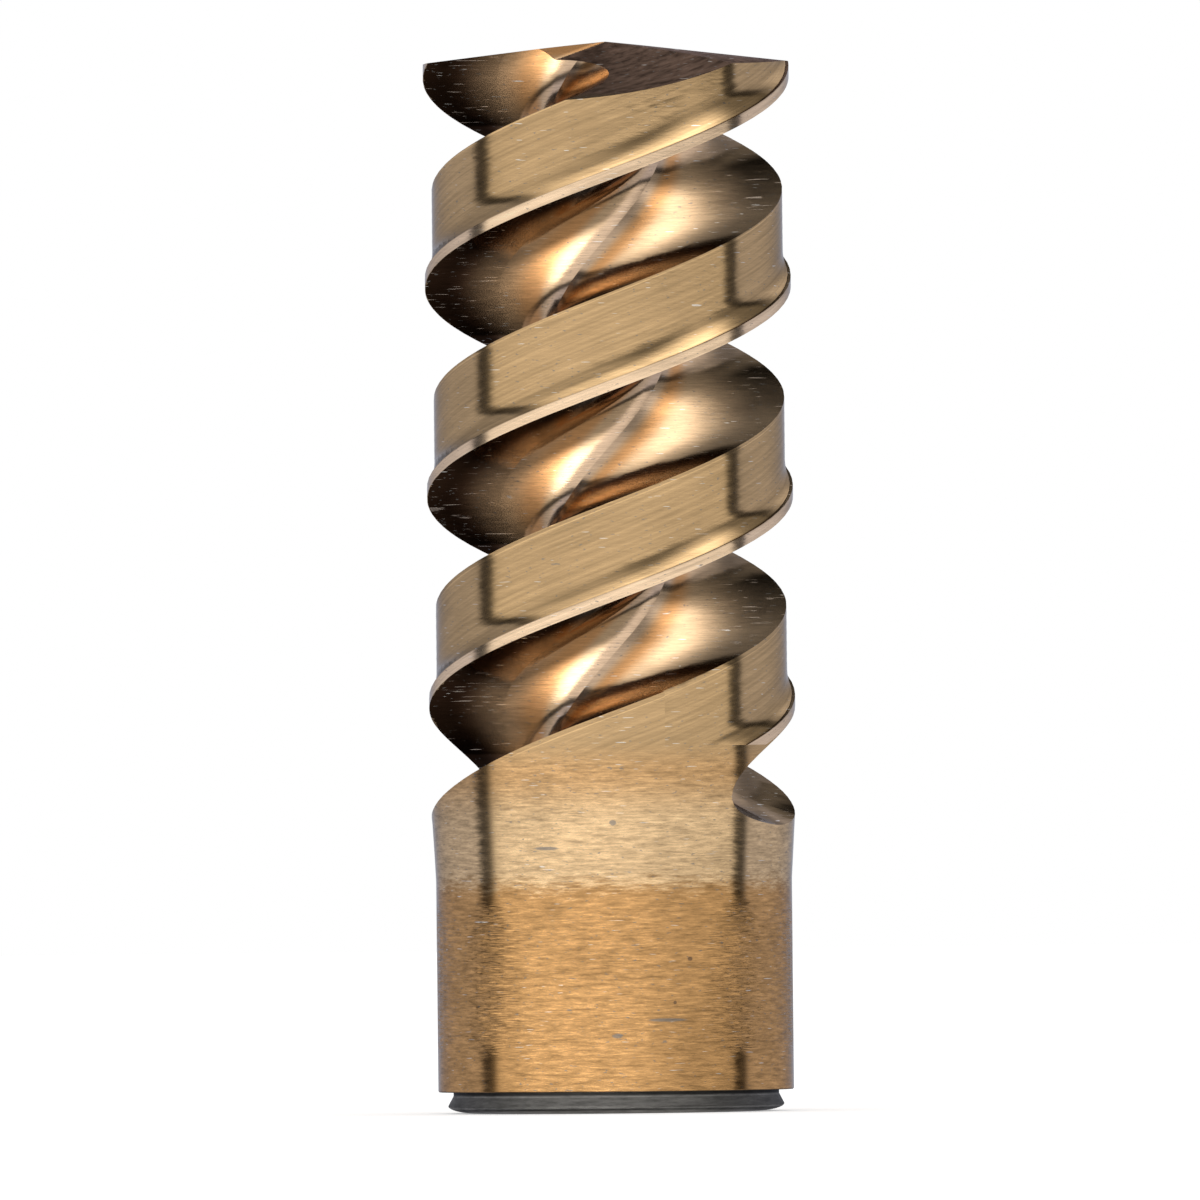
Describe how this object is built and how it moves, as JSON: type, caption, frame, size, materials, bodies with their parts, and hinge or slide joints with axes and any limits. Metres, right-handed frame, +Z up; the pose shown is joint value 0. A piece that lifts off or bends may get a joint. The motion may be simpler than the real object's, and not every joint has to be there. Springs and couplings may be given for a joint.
{
  "type": "jobber drill bit",
  "caption": "Short twist drill bit with a split point, right-hand helical flutes, narrow margins and a plain round shank with a stepped, rounded shank end.",
  "frame": {"origin": "middle of the shank end's flat face, where the drill stands", "axes": "+Z up the drill's axis to the point, +X and -X towards the two lip corners, -Y towards the camera of the picture"},
  "size_m": [0.0096, 0.0096, 0.0279],
  "materials": {
    "drill_bit": "high speed steel with a thin straw-gold temper colour, ground lands and shank, polished flutes"
  },
  "bodies": {
    "root": {"drill_bit": "drill_bit"}
  },
  "joints": []
}
